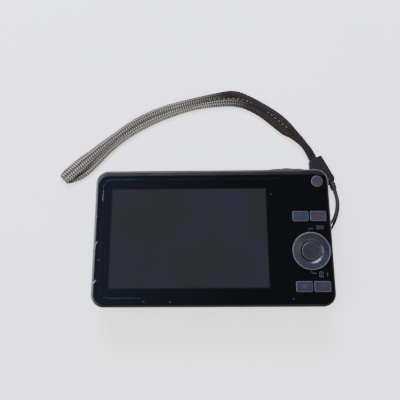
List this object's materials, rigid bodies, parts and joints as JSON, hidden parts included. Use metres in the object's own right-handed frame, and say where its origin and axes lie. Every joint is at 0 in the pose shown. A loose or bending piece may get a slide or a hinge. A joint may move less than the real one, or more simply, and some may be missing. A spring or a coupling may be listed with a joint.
{
  "type": "compact digital camera",
  "caption": "Slim pocket digital camera with a rear display, round control ring, retracting zoom lens and a woven wrist strap on its side.",
  "frame": {"origin": "centre of the camera's outline, without the strap, on the surface that its lens ring rests on", "axes": "+Z out of the rear display, +Y towards the shutter button, +X towards the control buttons"},
  "size_m": [0.1202, 0.0956, 0.0175],
  "materials": {
    "dark_metal": "satin",
    "rim_metal": "satin",
    "window_black": "gloss",
    "panel_black": "gloss",
    "steel": "satin",
    "display": "gloss",
    "circuit_board": "satin",
    "ring_metal": "satin",
    "black_plastic": "matte",
    "barrel_metal": "satin",
    "lens_glass": "gloss",
    "sensor": "gloss",
    "gear_plastic": "satin",
    "brass": "satin",
    "button_plastic": "satin",
    "rubber": "matte",
    "clear_plastic": "gloss",
    "white_plastic": "satin",
    "capacitor_sleeve": "satin",
    "battery_wrap": "satin",
    "card_plastic": "satin",
    "strap_plastic": "satin",
    "strap_metal": "satin",
    "cord_fabric": "woven",
    "band_fabric": "woven"
  },
  "bodies": {
    "root": {"front_cover": "dark_metal", "rear_cover": "rim_metal", "rear_window": "window_black", "rear_panel": "panel_black", "top_plate": "dark_metal", "main_frame": "steel", "frame_screws": "steel", "case_screws": "steel", "lcd_module": "display", "key_board": "circuit_board", "main_board": "circuit_board", "lens_ring": "ring_metal", "lens_housing": "black_plastic", "focus_guide_rods": "steel", "image_sensor": "sensor", "zoom_motor": "steel", "shutter_base": "ring_metal", "release_board": "circuit_board", "flash_window": "clear_plastic", "flash_unit": "white_plastic", "flash_capacitor": "capacitor_sleeve", "af_lamp": "clear_plastic", "speaker": "black_plastic", "battery_case": "black_plastic", "battery": "battery_wrap", "battery_contacts": "brass", "door_hinge_pin": "steel", "usb_socket": "steel", "tripod_socket": "steel", "strap_eyelet": "steel", "strap_tab": "strap_plastic", "strap_crimp": "strap_metal", "strap_cord": "cord_fabric", "wrist_band": "band_fabric"},
    "cam_ring": {"cam_ring": "black_plastic"},
    "outer_barrel": {"outer_barrel": "barrel_metal"},
    "middle_barrel": {"middle_barrel": "barrel_metal"},
    "inner_barrel": {"inner_barrel": "barrel_metal", "front_lens": "lens_glass"},
    "upper_blade": {"upper_barrier_blade": "black_plastic"},
    "lower_blade": {"lower_barrier_blade": "black_plastic"},
    "focus_group": {"focus_group": "black_plastic"},
    "reduction_gear": {"reduction_gear": "gear_plastic"},
    "motor_pinion": {"motor_pinion": "brass"},
    "movie_button": {"movie_button": "button_plastic"},
    "playback_button": {"playback_button": "button_plastic"},
    "camera_button": {"camera_button": "button_plastic"},
    "menu_button": {"menu_button": "button_plastic"},
    "option_button": {"option_button": "button_plastic"},
    "ring_pad": {"ring_pad": "rubber"},
    "control_ring": {"control_ring": "button_plastic"},
    "set_button": {"set_button": "button_plastic"},
    "zoom_lever": {"zoom_lever": "ring_metal"},
    "shutter_button": {"shutter_button": "ring_metal"},
    "power_button": {"power_button": "button_plastic"},
    "battery_door": {"battery_door": "dark_metal"},
    "door_latch": {"door_latch": "black_plastic"},
    "battery_latch": {"battery_latch": "gear_plastic"},
    "memory_card": {"memory_card": "card_plastic"},
    "connector_cover": {"connector_cover": "rubber"}
  },
  "joints": [
    {"name": "cam_turn", "type": "hinge", "parent": "root", "child": "cam_ring", "pos_m": [-0.0047, -0.00085, 0.006], "axis": [0, 0, 1], "range_deg": [0, 120]},
    {"name": "outer_barrel_slide", "type": "slide", "parent": "root", "child": "outer_barrel", "axis": [0, 0, -1], "range_m": [0, 0.00801]},
    {"name": "middle_barrel_slide", "type": "slide", "parent": "outer_barrel", "child": "middle_barrel", "axis": [0, 0, -1], "range_m": [0, 0.00701]},
    {"name": "inner_barrel_slide", "type": "slide", "parent": "middle_barrel", "child": "inner_barrel", "axis": [0, 0, -1], "range_m": [0, 0.00601]},
    {"name": "upper_blade_turn", "type": "hinge", "parent": "inner_barrel", "child": "upper_blade", "pos_m": [0.0022, -0.00085, 0.0015], "axis": [0, 0, 1], "range_deg": [-32.1, 0]},
    {"name": "lower_blade_turn", "type": "hinge", "parent": "inner_barrel", "child": "lower_blade", "pos_m": [-0.0116, -0.00085, 0.0015], "axis": [0, 0, 1], "range_deg": [-32.1, 0]},
    {"name": "reduction_gear_turn", "type": "hinge", "parent": "root", "child": "reduction_gear", "pos_m": [-0.01682, -0.00934, 0.01], "axis": [0, 0, 1], "range_deg": [-768.5, 0]},
    {"name": "motor_pinion_turn", "type": "hinge", "parent": "root", "child": "motor_pinion", "pos_m": [-0.02284, -0.01153, 0.01], "axis": [0, 0, 1], "range_deg": [0, 2305]},
    {"name": "focus_slide", "type": "slide", "parent": "root", "child": "focus_group", "axis": [0, 0, -1], "range_m": [0, 0.002]},
    {"name": "movie_button_press", "type": "slide", "parent": "root", "child": "movie_button", "axis": [0, 0, -1], "range_m": [0, 0.0003], "stiffness_N_per_m": 2000},
    {"name": "playback_button_press", "type": "slide", "parent": "root", "child": "playback_button", "axis": [0, 0, -1], "range_m": [0, 0.0003], "stiffness_N_per_m": 2000},
    {"name": "camera_button_press", "type": "slide", "parent": "root", "child": "camera_button", "axis": [0, 0, -1], "range_m": [0, 0.0003], "stiffness_N_per_m": 2000},
    {"name": "menu_button_press", "type": "slide", "parent": "root", "child": "menu_button", "axis": [0, 0, -1], "range_m": [0, 0.0003], "stiffness_N_per_m": 2000},
    {"name": "option_button_press", "type": "slide", "parent": "root", "child": "option_button", "axis": [0, 0, -1], "range_m": [0, 0.0003], "stiffness_N_per_m": 2000},
    {"name": "set_button_press", "type": "slide", "parent": "root", "child": "set_button", "axis": [0, 0, -1], "range_m": [0, 0.0003], "stiffness_N_per_m": 2000},
    {"name": "ring_tilt_up_down", "type": "hinge", "parent": "root", "child": "ring_pad", "pos_m": [0.0384, -0.00695, 0.0152], "axis": [1, 0, 0], "range_deg": [-1.5, 1.5], "stiffness_Nm_per_rad": 0.1},
    {"name": "ring_tilt_left_right", "type": "hinge", "parent": "ring_pad", "child": "control_ring", "pos_m": [0.0384, -0.00695, 0.0152], "axis": [0, 1, 0], "range_deg": [-1.5, 1.5], "stiffness_Nm_per_rad": 0.1},
    {"name": "zoom_lever_turn", "type": "hinge", "parent": "root", "child": "zoom_lever", "pos_m": [0.031, 0.02645, 0.009], "axis": [0, 1, 0], "range_deg": [-15, 15], "stiffness_Nm_per_rad": 0.01},
    {"name": "shutter_press", "type": "slide", "parent": "root", "child": "shutter_button", "axis": [0, -1, 0], "range_m": [0, 0.0005], "stiffness_N_per_m": 1500},
    {"name": "power_press", "type": "slide", "parent": "root", "child": "power_button", "axis": [0, -1, 0], "range_m": [0, 0.0003], "stiffness_N_per_m": 2000},
    {"name": "battery_door_hinge", "type": "hinge", "parent": "root", "child": "battery_door", "pos_m": [0.01315, -0.02665, 0.00737], "axis": [0, 0, -1], "range_deg": [0, 100]},
    {"name": "door_latch_slide", "type": "slide", "parent": "battery_door", "child": "door_latch", "axis": [1, 0, 0], "range_m": [0, 0.0012]},
    {"name": "battery_latch_slide", "type": "slide", "parent": "root", "child": "battery_latch", "axis": [0, 0, 1], "range_m": [0, 0.0008], "stiffness_N_per_m": 300},
    {"name": "memory_card_push", "type": "slide", "parent": "root", "child": "memory_card", "axis": [0, 1, 0], "range_m": [0, 0.0008], "stiffness_N_per_m": 500},
    {"name": "connector_cover_hinge", "type": "hinge", "parent": "root", "child": "connector_cover", "pos_m": [0.0463, 0.01625, 0.0046], "axis": [0, 1, 0], "range_deg": [0, 110]}
  ],
  "couplings": [
    {"joint": "outer_barrel_slide", "follows": "cam_turn", "m_per_rad": 0.0038197},
    {"joint": "middle_barrel_slide", "follows": "cam_turn", "m_per_rad": 0.0033423},
    {"joint": "inner_barrel_slide", "follows": "cam_turn", "m_per_rad": 0.0028648},
    {"joint": "upper_blade_turn", "follows": "cam_turn", "ratio": -0.26667},
    {"joint": "lower_blade_turn", "follows": "cam_turn", "ratio": -0.26667},
    {"joint": "reduction_gear_turn", "follows": "cam_turn", "ratio": -6.4},
    {"joint": "motor_pinion_turn", "follows": "cam_turn", "ratio": 19.2}
  ]
}
